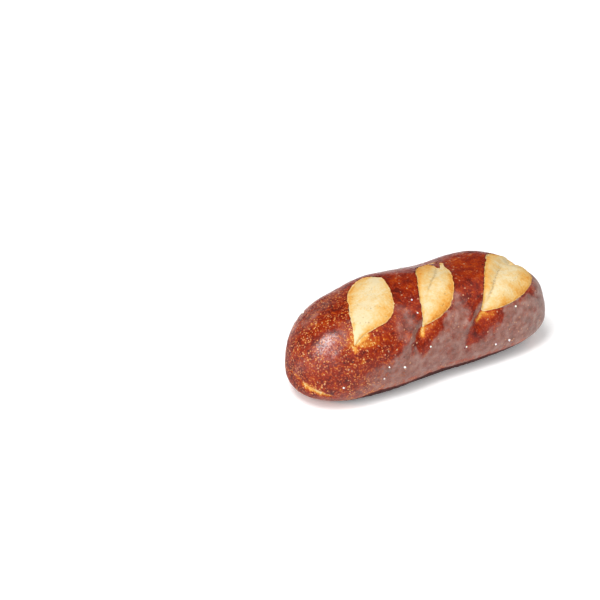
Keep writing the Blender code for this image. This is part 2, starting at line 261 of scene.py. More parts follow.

# The painted reflection of the bright table, low on the sides: a paler, greyer veil in the crust's colour.
# It starts and is full where the crust's normal points up this much, and comes in along the roll between
# these places. Its border is made ragged by soft patches and by streaks that run down the side.
REFLECTION_FROM_SLOPE = 0.56
REFLECTION_FULL_SLOPE = -0.10
REFLECTION_FROM_ALONG = -0.073
REFLECTION_FULL_ALONG = -0.022
REFLECTION_RAGGED = 0.16
REFLECTION_PATCH = 0.0045
REFLECTION_STREAK = 0.0030
REFLECTION_STREAK_SHARE = 1.3
REFLECTION_STRETCH = 0.30

# Skin of the crust: goose flesh all over, and a rough underside
PEEL_SIZE = 0.0026
PEEL_HEIGHT = 0.00013
WRINKLE_SIZE = 0.011
WRINKLE_HEIGHT = 0.00025
CRUMB_MOTTLE_SIZE = 0.0050
CRUMB_MOTTLE_HEIGHT = 0.00022
SCORCH_SIZE = 0.0022
SCORCH_HEIGHT = 0.0005
SCORCH_TOP = 0.004
CREASE_ANGLE = math.radians(50)

# Allowances for rounding, the step that a slope is measured over, and how often the rim is moved
CLOSE = 1e-6
ON_EDGE = 1e-7
TINY = 1e-9
NUDGE = 1e-6
RIM_MOVES = 3


def signed_power(value, power):
    return np.sign(value) * np.abs(value) ** power


def narrowing(t, power):
    """How much of its full size the roll has at t, from 0 in the middle to 1 or -1 at an end's tip."""
    return np.maximum(0.0, 1.0 - np.abs(t) ** power) ** (1.0 / power)


def plain_form(along, round_):
    """Points of the roll before its relief, at these unrolled places."""
    t = np.clip(along / (ROLL_LENGTH / 2), -1.0, 1.0)
    plan = np.where(t < 0, narrowing(t, NEAR_PLAN_POWER), narrowing(t, FAR_PLAN_POWER))
    rise = np.where(t < 0, narrowing(t, NEAR_RISE_POWER), narrowing(t, FAR_RISE_POWER))
    up = np.cos(round_ / WRAP_RADIUS)
    out = np.sin(round_ / WRAP_RADIUS)
    power = np.where(up >= 0, CROWN_POWER, BELLY_POWER)
    reach = np.where(up >= 0, ROLL_HEIGHT - BELLY_HEIGHT, BELLY_HEIGHT + BASE_SINK)
    y = ROLL_WIDTH / 2 * plan * signed_power(out, 2 / power) + BOW * (0.5 - t * t)
    z = BELLY_HEIGHT + reach * rise * signed_power(up, 2 / power)
    return np.stack([along, y, np.maximum(z, 0.0)], axis=-1)


def even_stations(power):
    """Shares of the way from an end's tip to the middle, and the half-lengths that divide it evenly."""
    turn = np.linspace(0.0, math.pi / 2, MERIDIAN_STEPS)
    x = ROLL_LENGTH / 2 * np.cos(turn) ** (2 / power)
    r = (ROLL_WIDTH + ROLL_HEIGHT) / 4 * np.sin(turn) ** (2 / power)
    step = np.hypot(np.diff(x), np.diff(r))
    arc = np.concatenate([[0.0], np.cumsum(step)])
    return arc / arc[-1], x


def unroll_box(x, y, z):
    """Unrolled places for points of the box grid. The box's two end faces make the roll's two caps."""
    ring = np.maximum(np.abs(y), np.abs(z))
    angle = np.where(
        np.abs(z) >= np.abs(y),
        math.pi / 4 * y / np.maximum(np.abs(z), TINY),
        math.pi / 2 * np.sign(y) - math.pi / 4 * z / np.where(np.abs(y) < TINY, TINY, y),
    )
    angle = np.where((np.abs(z) >= np.abs(y)) & (z < 0), math.pi - angle, angle)
    angle = np.arctan2(np.sin(angle), np.cos(angle))
    cap = CELLS_ACROSS / (CELLS_ACROSS + CELLS_ALONG)
    on_cap = np.abs(x) > 1.0 - CLOSE
    share = np.where(on_cap, ring * cap, cap + (1.0 - np.abs(x)) * (1.0 - cap))
    near = np.interp(share, *even_stations(NEAR_PLAN_POWER))
    far = np.interp(share, *even_stations(FAR_PLAN_POWER))
    return np.where(x < 0, -near, far), angle * WRAP_RADIUS


def on_cut(score, along, round_):
    """Where places lie on a score: the share of the way up its cut, the offset from it, its length."""
    cut = np.subtract(score.head, score.foot)
    length = np.hypot(*cut)
    x, y = along - score.foot[0], round_ - score.foot[1]
    return (x * cut[0] + y * cut[1]) / length**2, (x * cut[1] - y * cut[0]) / length, length


def edge_offset(edge, share):
    """How far an edge of an opened score stands off the cut, at these shares of the cut's length."""
    inside = np.clip(share, 0.0, 1.0)
    arch = np.sin(math.pi * inside ** (math.log(0.5) / math.log(edge.peak)))
    power = edge.foot_power + (edge.head_power - edge.foot_power) * inside
    return edge.width * np.maximum(arch, 0.0) ** power


def inside_leaf(score, along, round_):
    """How far inside an opened score's outline places are, negative outside it."""
    share, offset, length = on_cut(score, along, round_)
    left, right = edge_offset(score.left, share), edge_offset(score.right, share)
    beyond = np.hypot(offset, np.maximum(-share, share - 1.0) * length)
    within = np.minimum(offset + left, right - offset)
    return np.where((share > 0.0) & (share < 1.0), within, -beyond)


def grain(points, size):
    """A soft random height from about -0.5 to 0.5, whose bumps are this far apart."""
    return np.array([noise.noise(Vector(point) / size) for point in points])


def in_tear(tear, along, round_):
    """How far inside a tear places are, negative outside it."""
    run = np.subtract(tear.end, tear.start)
    length = np.hypot(*run)
    x, y = along - tear.start[0], round_ - tear.start[1]
    share = (x * run[0] + y * run[1]) / length**2
    offset = np.abs(x * run[1] - y * run[0]) / length
    beyond = np.maximum(-share, share - 1.0) * length
    return np.minimum(tear.width * (1 - share) - offset, -beyond)


def inside_crumb(along, round_):
    """How far inside the nearest opened score or tear places are, negative on the crust."""
    leaves = np.max([inside_leaf(score, along, round_) for score in SCORES], axis=0)
    bared = np.minimum(leaves, -in_tear(TONGUE, along, round_))
    deepest = np.max([bared] + [in_tear(tear, along, round_) for tear in TEARS], axis=0)
    close = np.abs(deepest) < 2 * RAGGED
    flat = np.stack([along[close], round_[close], np.zeros(close.sum())], axis=-1)
    deepest[close] += RAGGED * grain(flat, RAGGED_SIZE) * (1 - np.abs(deepest[close]) / (2 * RAGGED))
    return np.where(np.abs(round_) < LOWEST_LEAF_ROUND, deepest, -LOWEST_LEAF_ROUND)


def crease_place(score, along, round_):
    """Where places lie in an opened score: along the cut, across it, and how wide it is there."""
    share, offset, _ = on_cut(score, along, round_)
    left, right = edge_offset(score.left, share), edge_offset(score.right, share)
    width = np.maximum(left + right, TINY)
    return np.clip(share, 0.0, 1.0), np.clip((offset + left) / width, 0.0, 1.0), width


def swung(places, bend, share):
    """How far across a line lies that runs from the first place at the foot to the second at the head."""
    return places[0] + (places[1] - places[0]) * share**bend


def crumb_relief(score, along, round_):
    """Height of the opened crumb over the plain form: a fold at the cut, and a swell beside it."""
    share, across, _ = crease_place(score, along, round_)
    swell = score.swell * np.sin(math.pi * across) ** 0.7
    crease_at = swung(score.crease_places, score.crease_bend, share)
    fold = np.exp(-(((across - crease_at) / CREASE_WIDTH) ** 2)) * share
    fold *= np.minimum(1.0, 4 * across) * np.minimum(1.0, 4 * (1 - across))
    along_cut = np.sin(math.pi * share) ** 0.6
    return along_cut * (swell - score.crease * fold)


def crumb_tone(score, along, round_):
    """How baked an opened score's crumb is: least along one line, most at the edges."""
    share, across, _ = crease_place(score, along, round_)
    pale_at = swung(score.pale_places, score.crease_bend, share)
    aside = across - pale_at
    reach = np.where(aside < 0, PALE_REACH_LEFT, PALE_REACH_RIGHT)
    return score.gold + TONE_SPREAD * np.clip(np.abs(aside) / reach, 0.0, 1.0) ** TONE_POWER


def fold_line(score, along, round_, wander):
    """How near places are to the dark line in the crease, from 0 to 1."""
    first, last = score.fold
    if last <= first:
        return np.zeros(len(along))
    share, across, width = crease_place(score, along, round_)
    aside = (across - swung(score.crease_places, score.crease_bend, share)) * width + wander
    within = np.clip((share - first) / FOLD_FADE, 0, 1) * np.clip((last - share) / FOLD_FADE, 0, 1)
    return within * np.exp(-((aside / FOLD_WIDTH) ** 2))


def furrow_relief(score, along, round_):
    """The dent that runs on from a score's foot, slanting down the side towards -X, and its ridge."""
    x, y = along - score.foot[0], round_ - score.foot[1]
    down = (x * FURROW_RUN[0] + y * FURROW_RUN[1]) / score.furrow_length
    aside = x * FURROW_RUN[1] - y * FURROW_RUN[0]
    dent = np.exp(-((down - DENT_MIDDLE) ** 2) / DENT_SPREAD - (aside / FURROW_WIDTH) ** 2)
    ridge = np.exp(-((down - RIDGE_MIDDLE) ** 2) / RIDGE_SPREAD - ((aside - RIDGE_OFF) / RIDGE_WIDTH) ** 2)
    return score.furrow * (RIDGE_SHARE * ridge - dent)


def lip_relief(score, along, round_):
    """The crust that stands up along a score's left edge."""
    share, offset, _ = on_cut(score, along, round_)
    beyond = -offset - edge_offset(score.left, share)
    fade = np.sin(math.pi * np.clip(share, 0.0, 1.0)) * (offset < 0)
    return score.lip * fade * np.exp(-np.maximum(beyond, 0.0) / LIP_WIDTH)


def lump_relief(points):
    draw = random.Random(LUMP_SEED)
    height = np.zeros(len(points))
    for _ in range(LUMP_WAVES):
        heading = Vector([draw.gauss(0, 1) for _ in range(3)]).normalized()
        wave = math.tau / draw.uniform(LUMP_SHORTEST, LUMP_LONGEST)
        height += np.sin(points @ np.array(heading) * wave + draw.uniform(0, math.tau))
    return LUMP_HEIGHT * height / math.sqrt(LUMP_WAVES)


def near_split(points):
    """How near points are to the split, from 0 to 1."""
    nearest = np.zeros(len(points))
    for streak in SPLIT:
        for start, end in zip(streak.path, streak.path[1:]):
            side = np.subtract(end, start)
            share = np.clip((points - start) @ side / (side @ side), 0.0, 1.0)
            gap = np.linalg.norm(points - start - share[:, None] * side, axis=1)
            nearest = np.maximum(nearest, streak.pale * np.exp(-((gap / streak.width) ** 2)))
    return nearest


def eased(values, start, end):
    """Runs smoothly from 0 to 1 as the values go from start to end."""
    share = np.clip((values - start) / (end - start), 0, 1)
    return share * share * (3 - 2 * share)


def smeared(smears, along, round_):
    """The strongest of the smears at these places."""
    total = np.zeros(len(along))
    for smear in smears:
        run = np.subtract(smear.end, smear.start)
        x, y = along - smear.start[0], round_ - smear.start[1]
        share = np.clip((x * run[0] + y * run[1]) / (run @ run), 0.0, 1.0)
        gap = np.hypot(x - share * run[0], y - share * run[1])
        strength = np.interp(share, (0.0, 1.0), smear.strengths)
        total = np.maximum(total, strength * np.exp(-((gap / smear.reach) ** 2)))
    return total


def bulge_relief(along, round_):
    height = np.zeros(len(along))
    for bulge in BULGES:
        gap = np.hypot(along - bulge.along, round_ - bulge.round)
        height += bulge.height * np.exp(-((gap / bulge.reach) ** 2))
    return height * np.clip((ROLL_LENGTH / 2 - np.abs(along)) / TIP_FADE, 0.0, 1.0)


def relief(along, round_, points):
    """How far the baked surface stands off the plain form."""
    height = lump_relief(points) - SPLIT_DEPTH * near_split(points) + bulge_relief(along, round_)
    crumb = inside_crumb(along, round_) > ON_EDGE
    height += np.where(
        crumb,
        CRUMB_MOTTLE_HEIGHT * grain(points, CRUMB_MOTTLE_SIZE),
        PEEL_HEIGHT * grain(points, PEEL_SIZE) + WRINKLE_HEIGHT * grain(points, WRINKLE_SIZE),
    )
    height -= NOTCH_DEPTH * smeared(NOTCH, along, round_)
    height += SCORCH_HEIGHT * grain(points, SCORCH_SIZE) * np.clip(1 - points[:, 2] / SCORCH_TOP, 0, 1)
    wander = FOLD_WANDER * grain(points, FOLD_WANDER_SIZE)
    for score in SCORES:
        opened = (inside_leaf(score, along, round_) > ON_EDGE) & crumb
        height += furrow_relief(score, along, round_)
        height += np.where(
            opened, crumb_relief(score, along, round_), lip_relief(score, along, round_)
        )
        height -= opened * FOLD_DEPTH * fold_line(score, along, round_, wander)
    return height


def choose(piece, kind, wanted):
    """Selects, in edit mode, the vertices, edges or faces for which wanted is true."""
    bpy.ops.object.mode_set(mode="OBJECT")
    for name in ("vertices", "edges", "polygons"):
        data = getattr(piece.data, name)
        data.foreach_set("select", wanted if name == kind else np.zeros(len(data), bool))
    bpy.ops.object.mode_set(mode="EDIT")


def corners(piece):
    """The piece's vertices, one row each."""
    flat = np.empty(len(piece.data.vertices) * 3)
    piece.data.vertices.foreach_get("co", flat)
    return flat.reshape(-1, 3)


def normals_of(piece):
    """The vertices' normals, one row each."""
    flat = np.empty(len(piece.data.vertices) * 3)
    piece.data.vertex_normals.foreach_get("vector", flat)
    return flat.reshape(-1, 3)


def edge_ends(piece):
    """The two vertices of each edge, one row each."""
    flat = np.empty(len(piece.data.edges) * 2, np.int64)
    piece.data.edges.foreach_get("vertices", flat)
    return flat.reshape(-1, 2)


def place_corners(piece, points):
    piece.data.vertices.foreach_set("co", np.ascontiguousarray(points).ravel())
    piece.data.update()


def paint(piece, name, values):
    """Stores one number for each vertex, for the material to read."""
    layer = piece.data.attributes.get(name) or piece.data.attributes.new(name, "FLOAT", "POINT")
    layer.data.foreach_set("value", np.asarray(values, np.float32))


# A cube, cut into even cells, is the block that the dough is shaped from: first its long edges are cut,
# then all that run across it, and then each cell again
bpy.ops.object.select_all(action="DESELECT")
bpy.ops.mesh.primitive_cube_add(size=2)
dough = bpy.context.active_object
dough.name = "baked_dough"
dough.data.name = "baked_dough"
bpy.ops.object.mode_set(mode="EDIT")
bpy.ops.mesh.select_mode(type="EDGE")
for lengthwise, cells in ((True, COARSE_ALONG), (False, COARSE_ACROSS)):
    bpy.ops.object.mode_set(mode="OBJECT")
    ends = corners(dough)[edge_ends(dough)]
    run = np.abs(ends[:, 0, 0] - ends[:, 1, 0])
    choose(dough, "edges", run > 1.0 if lengthwise else run < CLOSE)
    bpy.ops.mesh.subdivide(number_cuts=cells - 1)
bpy.ops.mesh.select_all(action="SELECT")
bpy.ops.mesh.subdivide(number_cuts=FINE_CUTS)
bpy.ops.object.mode_set(mode="OBJECT")

# The vertices next to a score's outline move onto it
along, round_ = unroll_box(*corners(dough).T)
depth = inside_crumb(along, round_)
first, second = edge_ends(dough).T
crossing = (depth[first] > 0) != (depth[second] > 0)
crossing &= np.abs(round_[first]) < LOWEST_LEAF_ROUND
nearer = np.where(np.abs(depth[first]) < np.abs(depth[second]), first, second)[crossing]
rim = np.zeros(len(depth), bool)
rim[nearer] = True
for _ in range(RIM_MOVES):
    here = inside_crumb(along[rim], round_[rim])
    slope = np.stack([
        inside_crumb(along[rim] + NUDGE, round_[rim]) - here,
        inside_crumb(along[rim], round_[rim] + NUDGE) - here,
    ]) / NUDGE
    step = -here * slope / np.maximum((slope**2).sum(axis=0), 0.25)
    along[rim] += step[0]
    round_[rim] += step[1]

# The block takes the roll's plain form, and then its relief, which leaves the base flat
plain = plain_form(along, round_)
place_corners(dough, plain)
base = plain[:, 2] < CLOSE
shaped = plain + normals_of(dough) * relief(along, round_, plain)[:, None]
shaped[:, 2] = np.where(base, 0.0, np.maximum(shaped[:, 2], 0.0))
place_corners(dough, shaped)

# What the oven did to each place is painted on, for the material to read, and so is where the reflection
# of the bright table is painted into the colour
depth = inside_crumb(along, round_)
depth[rim] = 0.0
wander = FOLD_WANDER * grain(plain, FOLD_WANDER_SIZE)
folds = np.max([fold_line(score, along, round_, wander) for score in SCORES], axis=0)
paint(dough, "leaf_depth", np.clip(depth, -0.02, 0.02) * 1000)
tones = [
    np.where(inside_leaf(score, along, round_) > 0, crumb_tone(score, along, round_), 0) for score in SCORES
]
# Painted reflection of the table: where the crust faces down or sideways, ragged, and along the smears
streaks = grain(np.stack([along, REFLECTION_STRETCH * round_, 0 * along], axis=-1), REFLECTION_STREAK)
patches = grain(plain, REFLECTION_PATCH)
slope = normals_of(dough)[:, 2] + REFLECTION_RAGGED * (patches + REFLECTION_STREAK_SHARE * streaks)
bloom = eased(slope, REFLECTION_FROM_SLOPE, REFLECTION_FULL_SLOPE)
bloom *= eased(along, REFLECTION_FROM_ALONG, REFLECTION_FULL_ALONG)
stray_along = along + SMEAR_WANDER * grain(plain, SMEAR_WANDER_SIZE)
stray_round = round_ + SMEAR_WANDER * grain(plain + 1.0, SMEAR_WANDER_SIZE)
bloom += smeared(PAINTED_REFLECTION_SMEARS, stray_along, stray_round) - smeared(CLEARS, stray_along, stray_round)
paint(dough, "glow", smeared(GLOWS, (along + stray_along) / 2, (round_ + stray_round) / 2))
paint(dough, "bloom", np.clip(bloom, 0, 1))
paint(dough, "sheen", smeared(SHEENS, along, round_))
paint(dough, "tone", np.max(tones, axis=0))
paint(dough, "fold", folds * (depth > 0))
paint(dough, "split", near_split(plain))

# An edge joins each two neighbours on the outline, and the crumb is let in below the crust's cut edge
bpy.ops.object.mode_set(mode="EDIT")
bpy.ops.mesh.select_mode(type="VERT")
choose(dough, "vertices", rim)
bpy.ops.mesh.vert_connect()
bpy.ops.mesh.select_mode(type="FACE")
bpy.ops.object.mode_set(mode="OBJECT")
face_depth = np.array([depth[list(face.vertices)].mean() for face in dough.data.polygons])
choose(dough, "polygons", face_depth > CLOSE)
bpy.ops.mesh.inset(thickness=RIM_WIDTH, depth=-RIM_DEPTH, use_even_offset=False)
bpy.ops.object.mode_set(mode="OBJECT")
crumb_faces = [face for face in dough.data.polygons if face.select]
crumb_corners = np.zeros(len(dough.data.vertices), bool)
crumb_corners[[corner for face in crumb_faces for corner in face.vertices]] = True
depth_now = np.empty(len(dough.data.vertices), np.float32)
dough.data.attributes["leaf_depth"].data.foreach_get("value", depth_now)
at_wall_foot = crumb_corners & (np.abs(depth_now) < CLOSE)
depth_now[at_wall_foot] = RIM_WIDTH * 1000
paint(dough, "leaf_depth", depth_now)
bpy.ops.object.shade_smooth_by_angle(angle=CREASE_ANGLE)


def add_node(tree, kind, sockets=None, **settings):
    """A shader node with these settings, its sockets set to values or linked to other nodes' outputs."""
    made = tree.nodes.new(kind)
    for name, value in settings.items():
        setattr(made, name, value)
    for name, value in (sockets or {}).items():
        if isinstance(value, bpy.types.NodeSocket):
            tree.links.new(value, made.inputs[name])
        else:
            made.inputs[name].default_value = value
    return made


def sum_of(tree, *values):
    """Adds up sockets and numbers."""
    total = values[0]
    for value in values[1:]:
        total = add_node(tree, "ShaderNodeMath", {0: total, 1: value}, operation="ADD").outputs[0]
    return total


def times(tree, *values):
    product = values[0]
    for value in values[1:]:
        product = add_node(tree, "ShaderNodeMath", {0: product, 1: value}, operation="MULTIPLY").outputs[0]
    return product


def ease(tree, value, start, end, low=0.0, high=1.0):
    """Runs smoothly from low to high as value goes from start to end."""
    sockets = {"Value": value, "From Min": start, "From Max": end, "To Min": low, "To Max": high}
    return add_node(
        tree, "ShaderNodeMapRange", sockets, interpolation_type="SMOOTHSTEP"
    ).outputs["Result"]


def cloud(tree, place, size, detail=2.0, roughness=0.5):
    """Noise from 0 to 1 whose features are this large, in metres."""
    sockets = {"Vector": place, "Scale": 1 / size, "Detail": detail, "Roughness": roughness}
    return add_node(tree, "ShaderNodeTexNoise", sockets).outputs["Fac"]


def cells(tree, place, size):
    """Voronoi cells this large: the distance from each one's middle, and a colour of its own."""
    found = add_node(tree, "ShaderNodeTexVoronoi", {"Vector": place, "Scale": 1 / size})
    return found.outputs["Distance"], found.outputs["Color"]


def blend(tree, share, low, high):
    """One number or the other, by share."""
    sockets = {"Factor": share, "A": low, "B": high}
    return add_node(tree, "ShaderNodeMix", sockets, data_type="FLOAT").outputs["Result"]


def attribute(tree, name):
    return add_node(tree, "ShaderNodeAttribute", attribute_name=name).outputs["Fac"]


def ramp(tree, value, stops):
    """Colours by value. Each stop is a position and a linear colour."""
    made = add_node(tree, "ShaderNodeValToRGB", {"Fac": value})
    points = made.color_ramp.elements
    while len(points) < len(stops):
        points.new(0.5)
    for point, (position, colour) in zip(points, stops):
        point.position = position
        point.color = (*colour, 1.0)
    return made.outputs["Color"]


# How baked the dough is, from 0 for crumb that just set to 1 for scorched crust, and its colours
BAKED = (
    (0.00, (0.72, 0.59, 0.350)),
    (0.14, (0.71, 0.48, 0.190)),
    (0.26, (0.70, 0.37, 0.085)),
    (0.37, (0.64, 0.25, 0.032)),
    (0.48, (0.47, 0.125, 0.010)),
    (0.60, (0.38, 0.049, 0.003)),
    (0.74, (0.250, 0.016, 0.001)),
    (0.87, (0.120, 0.007, 0.002)),
    (1.00, (0.028, 0.006, 0.004)),
)

# How baked crust and crumb are before the patterns below are added, and the cut wall and the base, whose
# darkness is partly a darker bake and partly painted shade of the underside
CRUST_BAKED = 0.365
CRUMB_BAKED = -0.41
WALL_BAKED = 0.50
SHADED_BASE_BAKED = 0.96

# How much darker or paler each pattern and painted mark bakes the crust, and then the crumb
BLOTCH_DARK = 0.24
MOTTLE_DARK = 0.62
MARBLE_PALE = 0.24
SPECKLE_PALE = 0.46
NEAR_END_PALE = 0.01
BLISTER_PALE = 0.12
POCK_DARK = 0.14
GLOW_PALE = 0.58
WALL_GLOW_PALE = 0.42
SPLIT_PALE = 0.66
# Painted shade along the crust's cut edge, just outside the crumb
CUT_EDGE_SHADE = 0.09
HEM_PALE = 0.20
SOFT_DARK = 0.50
FLECK_DARK = 0.32
CRUMB_BORDER_DARK = 0.06
CRUMB_FOOT_PALE = 0.09
CRUMB_GLOW_PALE = 0.05

# Sizes of the patterns, and how far their places are pushed about
BLOTCH_SIZE = 0.014
PATCH_SIZE = 0.009
MOTTLE_SIZE = 0.0042
POCK_SIZE = 0.0036
BLISTER_SIZE = 0.0026
MARBLE_SIZE = 0.0013
SPECKLE_SIZE = 0.0012
SOFT_SIZE = 0.0060
PORE_SIZE = 0.0016
FLECK_SIZE = 0.0012
DRIFT_SIZE = 0.0036
FINE_SIZE = 0.0014
GLOSS_SIZE = 0.0010
GRIT_SIZE = 0.0007
SCORCHED_SIZE = 0.0012
WARP_SIZE = 0.0013
WARP_REACH = 0.0011

# Places along the roll between which its finish changes: towards the speckled rounder end, towards that
# end's dull tip, and towards the far end's paler painted reflection
NEAR_END = (-0.016, -0.050)
ROUND_TIP = (-0.066, -0.072)
FAR_END = (0.030, 0.066)

# The dark base, partly baked darker and partly painted shade where the underside turns under: its top
# wanders, lies on the table at the rounder end, climbs towards the middle and comes halfway down again at
# the far end. HEM_EDGE is where the pale line above it fades in.
BASE_TOP = 0.0076
BASE_WANDER = 0.0030
BASE_CLIMBS = (-0.064, -0.038)
BASE_FALLS = (0.045, 0.068)
BASE_EDGE = (-0.0010, -0.0024)
HEM_EDGE = (0.0024, 0.0008)

# Colours of the painted reflection of the table, thin to thick, along the sides and at the far end, then
# those of the painted shade in the crumb's pores and crease, and of the painted glints
PAINTED_REFLECTION_COLOURS = (
    (0.34, (0.230, 0.115, 0.088)),
    (0.50, (0.300, 0.170, 0.138)),
    (0.66, (0.370, 0.240, 0.205)),
)
FAR_PAINTED_REFLECTION_COLOURS = (
    (0.34, (0.250, 0.160, 0.128)),
    (0.50, (0.320, 0.225, 0.190)),
    (0.66, (0.400, 0.310, 0.270)),
)
REFLECTION_COVER = 0.80
HOLLOW_SHADE_COLOUR = (0.34, 0.23, 0.11, 1.0)
PORE_SHARE = 0.35
FOLD_SHARE = 0.80
GLINT_COLOUR = (0.60, 0.30, 0.17, 1.0)
GLINT_ON_SPECKLE = 0.35

# The gloss: the roughness of crumb and base, what the crust under the painted reflection, the sheen and
# the rounder tip add to the crust's, and the clear glaze of lye on the glossiest shoulder
CRUMB_ROUGHNESS = 0.80
BASE_ROUGHNESS = 0.75
REFLECTION_ROUGHNESS = 0.20
SHEEN_ROUGHNESS = 0.08
TIP_ROUGHNESS = 0.30
CRUST_SPECULAR = 0.24
COAT_ROUGHNESS = 0.36
COAT_IOR = 1.9


def chance_of(tree, colour, channel):
    """One of the three random numbers that a cell's own colour holds."""
    return add_node(tree, "ShaderNodeSeparateColor", {"Color": colour}).outputs[channel]


def blend_colour(tree, share, low, high):
    sockets = {"Factor": share, 6: low, 7: high}
    return add_node(tree, "ShaderNodeMix", sockets, data_type="RGBA").outputs[2]


def warped(tree, place):
    """Places pushed about a little, so that the round cells read there turn out crooked."""
    push = add_node(tree, "ShaderNodeTexNoise", {"Vector": place, "Scale": 1 / WARP_SIZE, "Detail": 1.0})
    centred = add_node(
        tree, "ShaderNodeVectorMath", {0: push.outputs["Color"], 1: (0.5, 0.5, 0.5)}, operation="SUBTRACT"
    )
    scaled = add_node(
        tree, "ShaderNodeVectorMath", {0: centred.outputs[0], "Scale": WARP_REACH}, operation="SCALE"
    )
    return add_node(
        tree, "ShaderNodeVectorMath", {0: place, 1: scaled.outputs[0]}, operation="ADD"
    ).outputs[0]


def spots(tree, place, size, channel, reach, edge, seldom):
    """Spots in some cells: of a radius and softness given in cells, the more the lower seldom is."""
    distance, tint = cells(tree, place, size)
    round_spot = ease(tree, distance, reach + edge, reach - edge)
    return times(tree, round_spot, ease(tree, chance_of(tree, tint, channel), seldom, seldom + 0.35))


def find_marks(tree):
    """What the finish goes by: places, the painted marks, and the patterns of crust and crumb."""
    place = add_node(tree, "ShaderNodeTexCoord").outputs["Object"]
    axes = add_node(tree, "ShaderNodeSeparateXYZ", {"Vector": place}).outputs
    marks = SimpleNamespace(place=place, crooked=warped(tree, place), x=axes["X"], z=axes["Z"])
    for name in ("leaf_depth", "tone", "fold", "glow", "bloom", "sheen", "split"):
        setattr(marks, name, attribute(tree, name))
    marks.is_crumb = ease(tree, marks.leaf_depth, 0.09, 0.16)
    marks.on_wall = ease(tree, marks.leaf_depth, 0.01, 0.04)

    # Crust: a mottling, a marbling, small bright blisters, and the fine speckles of the rounder end
    marks.mottle = cloud(tree, place, MOTTLE_SIZE, 3.0, 0.6)
    marks.marble = ease(tree, cloud(tree, marks.crooked, MARBLE_SIZE, 2.0, 0.6), 0.50, 0.68)
    marks.speckle = spots(tree, marks.crooked, SPECKLE_SIZE, "Red", 0.30, 0.16, 0.05)
    marks.blister = spots(tree, marks.crooked, BLISTER_SIZE, "Green", 0.17, 0.07, 0.35)
    marks.pock = spots(tree, marks.crooked, POCK_SIZE, "Blue", 0.14, 0.06, 0.60)
    marks.patchy = ease(tree, cloud(tree, place, PATCH_SIZE), 0.38, 0.56, 0.40, 1.0)
    marks.near_end = ease(tree, marks.x, *NEAR_END, 0.22, 1.0)
    marks.speckles = times(
        tree,
        marks.speckle,
        marks.patchy,
        marks.near_end,
        ease(tree, marks.bloom, 0.4, 1.0, 1.0, 0.6),
        ease(tree, marks.glow, 0.3, 0.9, 1.0, 0.3),
    )

    # Crumb: soft clouds, flecks and pores
    marks.soft = cloud(tree, place, SOFT_SIZE, 3.0, 0.55)
    marks.flecks = cloud(tree, place, FLECK_SIZE, 2.0, 0.6)
    marks.pore = spots(tree, place, PORE_SIZE, "Blue", 0.18, 0.10, 0.60)

    # Base: the dark part, partly baked darker and partly painted shade, and the pale hem just above it
    base_top = times(
        tree, ease(tree, marks.x, *BASE_CLIMBS), ease(tree, marks.x, *BASE_FALLS, 1.0, 0.5), -BASE_TOP
    )
    over_base = sum_of(tree, marks.z, times(tree, marks.mottle, -BASE_WANDER), base_top)
    marks.at_base = ease(tree, over_base, *BASE_EDGE)
    marks.hem = times(tree, ease(tree, over_base, *HEM_EDGE), ease(tree, marks.mottle, 0.40, 0.58))

    # Painted reflection of the table: how thick it lies in the colour, broken by all that stands out of it
    marks.drift = cloud(tree, place, DRIFT_SIZE, 3.0, 0.60)
    fine = cloud(tree, place, FINE_SIZE, 3.0, 0.7)
    ragged = sum_of(tree, marks.bloom, times(tree, fine, 0.4), times(tree, marks.drift, 0.4))
    marks.dull = times(
        tree,
        ease(tree, ragged, 0.50, 1.30, 0.0, REFLECTION_COVER),
        ease(tree, marks.is_crumb, 1.0, 0.0),
        ease(tree, marks.at_base, 0.6, 0.0),
        ease(tree, marks.hem, 0.8, 0.2, 0.5, 1.0),
        ease(tree, marks.split, 0.5, 0.1),
        ease(tree, marks.glow, 0.35, 0.0),
        ease(tree, marks.mottle, 0.38, 0.62, 1.00, 0.72),
        ease(tree, marks.marble, 0.0, 1.0, 1.0, 0.85),
        ease(tree, marks.pock, 0.0, 1.0, 1.0, 0.2),
        ease(tree, marks.speckles, 0.0, 0.5, 1.0, 0.4),
    )
    return marks


def crust_baked(tree, marks):
    """How baked the crust is: paler at blisters, feet and split, and darkest on the base, which also
    carries the painted shade of the underside.
    """
    crust = sum_of(
        tree,
        CRUST_BAKED,
        times(tree, cloud(tree, marks.place, BLOTCH_SIZE), BLOTCH_DARK),
        times(tree, marks.mottle, MOTTLE_DARK),
        times(tree, marks.marble, ease(tree, marks.near_end, 0.2, 1.0, 0.55, 1.0), -MARBLE_PALE),
        times(tree, marks.speckles, -SPECKLE_PALE),
        times(tree, marks.near_end, -NEAR_END_PALE),
        times(tree, marks.blister, -BLISTER_PALE),
        times(tree, marks.pock, POCK_DARK),
        times(tree, marks.glow, ease(tree, marks.mottle, 0.35, 0.60, 0.75, 1.15), -GLOW_PALE),
        times(tree, marks.split, ease(tree, marks.mottle, 0.30, 0.52, 0.55, 1.05), -SPLIT_PALE),
        # Painted shade: a thin darker band on the crust just outside the crumb's outline, along its cut
        # edge
        times(tree, ease(tree, marks.leaf_depth, -0.7, -0.1), ease(tree, marks.glow, 0.5, 0.1), CUT_EDGE_SHADE),
    )
    # The base: a darker bake together with painted shade of the underside
    crust = blend(tree, marks.at_base, sum_of(tree, crust, times(tree, marks.hem, -HEM_PALE)), SHADED_BASE_BAKED)
    wall = sum_of(tree, WALL_BAKED, times(tree, marks.glow, -WALL_GLOW_PALE))
    return blend(tree, marks.on_wall, crust, wall)


def crumb_baked(tree, marks):
    """How baked the crumb is: palest along one line, gold to the edges."""
    return sum_of(
        tree,
        CRUMB_BAKED,
        marks.tone,
        times(tree, ease(tree, marks.leaf_depth, 2.4, 0.8), CRUMB_BORDER_DARK),
        times(tree, ease(tree, marks.leaf_depth, 0.9, 0.4), -CRUMB_FOOT_PALE),
        times(tree, marks.soft, SOFT_DARK),
        times(tree, marks.flecks, FLECK_DARK),
        times(tree, marks.glow, -CRUMB_GLOW_PALE),
    )


